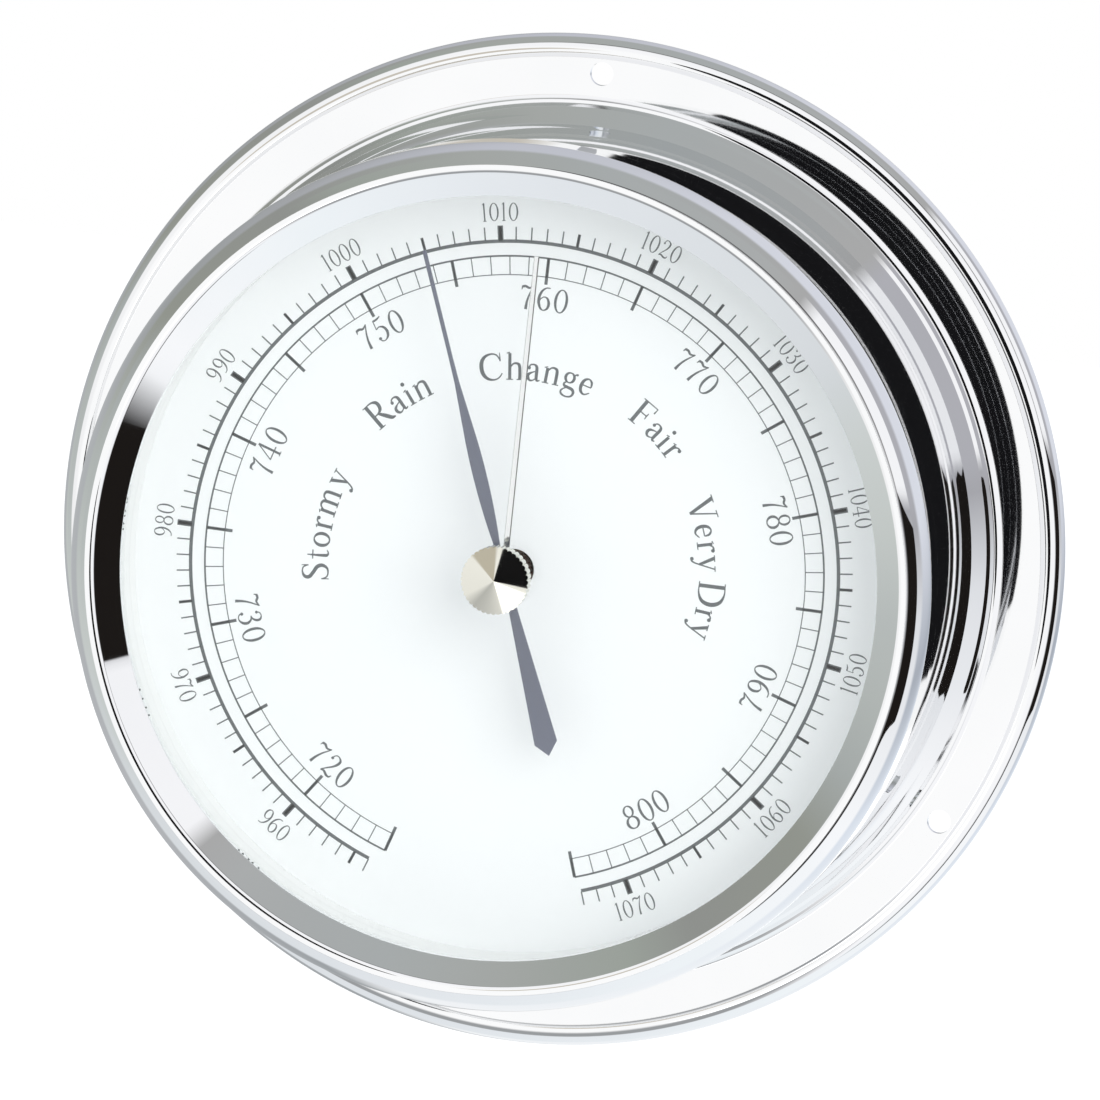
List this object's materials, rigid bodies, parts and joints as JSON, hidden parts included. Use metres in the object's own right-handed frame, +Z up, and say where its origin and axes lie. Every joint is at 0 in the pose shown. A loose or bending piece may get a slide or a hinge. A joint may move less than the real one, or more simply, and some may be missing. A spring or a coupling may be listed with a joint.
{
  "type": "marine barometer",
  "caption": "Round wall-mounted marine barometer in a polished flanged case, with a white pressure dial, a main pointer and a set hand turned by a serrated knob.",
  "frame": {"origin": "centre of the wall screw circle, on the flange's back face; the rim bead reaches 1.45 mm further back, to the wall", "axes": "+Z up the dial to twelve o'clock, -Y out of the dial towards the reader, +X to the reader's right"},
  "size_m": [0.15, 0.0543, 0.15],
  "materials": {
    "chrome": "polished chrome on brass",
    "dial_white": "matt white, printed in dark grey",
    "ring_white": "satin white",
    "glass": "clear mineral glass",
    "gasket": "matt",
    "pointer_grey": "satin slate grey",
    "polished_steel": "polished",
    "cover_steel": "zinc plated",
    "screw_steel": "turned",
    "brass": "satin",
    "arbor_steel": "ground",
    "spring_steel": "blued",
    "capsule_alloy": "corrugated copper alloy"
  },
  "bodies": {
    "case": {"case_shell": "chrome", "dial_seat_ring": "brass", "back_cover": "cover_steel", "back_cover_screws": "screw_steel", "bezel_ring": "chrome", "glass_gasket": "gasket", "window_glass": "glass", "spacer_ring": "ring_white", "glass_bush": "polished_steel", "bush_nut": "polished_steel", "dial_plate": "dial_white", "dial_feet": "brass", "foot_screws": "screw_steel", "front_plate": "brass", "rear_plate": "brass", "plate_pillars": "brass", "plate_screws": "screw_steel", "base_plate": "brass", "base_pillars": "brass", "base_screws": "screw_steel", "lever_brackets": "brass", "bracket_screws": "screw_steel", "pivot_screws": "screw_steel", "adjusting_strip": "spring_steel", "strip_packing": "brass", "strip_screws": "screw_steel", "capsule_base_boss": "brass", "capsule_lower_shell": "capsule_alloy", "capsule_upper_shell": "capsule_alloy", "arbor_bush": "brass", "hairspring": "spring_steel", "hairspring_stud": "brass"},
    "set_hand": {"set_hand": "polished_steel", "set_hand_hub": "polished_steel", "set_spindle": "polished_steel", "set_knob": "chrome"},
    "pointer": {"main_pointer": "pointer_grey", "pointer_hub": "pointer_grey", "pointer_arbor": "arbor_steel", "pinion": "arbor_steel", "hairspring_collet": "brass"},
    "sector": {"sector_gear": "brass", "sector_hub": "brass", "sector_arbor": "arbor_steel", "sector_pin": "arbor_steel"},
    "rocking_lever": {"rocking_shaft": "arbor_steel", "short_arm": "brass", "long_arm": "brass", "arm_pin": "arbor_steel"},
    "link": {"link_rod": "arbor_steel"},
    "capsule_stud": {"capsule_stud": "brass"},
    "calibration_screw": {"calibration_screw": "screw_steel"}
  },
  "joints": [
    {"name": "sector_turn", "type": "hinge", "parent": "case", "child": "sector", "pos_m": [0.019, -0.02835, -0.02057], "axis": [0, -1, 0], "range_deg": [-15.48, 20.22], "stiffness_Nm_per_rad": 0.04},
    {"name": "pointer_turn", "type": "hinge", "parent": "case", "child": "pointer", "pos_m": [0, -0.02835, 0], "axis": [0, -1, 0], "range_deg": [-181.99, 139.33], "deforming": ["hairspring"]},
    {"name": "rocking_lever_turn", "type": "hinge", "parent": "case", "child": "rocking_lever", "pos_m": [0, -0.01595, 0.0035], "axis": [1, 0, 0], "range_deg": [-7.7, 10.05]},
    {"name": "link_swing", "type": "hinge", "parent": "rocking_lever", "child": "link", "pos_m": [0.014, -0.02595, 0.0035], "axis": [1, 0, 0], "range_deg": [-10.05, 7.7]},
    {"name": "capsule_stud_slide", "type": "slide", "parent": "case", "child": "capsule_stud", "axis": [0, 1, 0], "range_m": [-0.00047, 0.00061], "deforming": ["capsule_upper_shell"]},
    {"name": "set_hand_turn", "type": "hinge", "parent": "case", "child": "set_hand", "pos_m": [0, -0.04855, 0], "axis": [0, 1, 0], "continuous": true},
    {"name": "calibration_screw_turn", "type": "hinge", "parent": "case", "child": "calibration_screw", "pos_m": [0.026, -0.00255, 0], "axis": [0, 1, 0], "range_deg": [-180, 180]}
  ],
  "couplings": [
    {"joint": "pointer_turn", "follows": "sector_turn", "ratio": -9},
    {"joint": "rocking_lever_turn", "follows": "sector_turn", "ratio": 0.4965},
    {"joint": "link_swing", "follows": "sector_turn", "ratio": -0.4965},
    {"joint": "capsule_stud_slide", "follows": "sector_turn", "m_per_rad": 0.001738}
  ]
}
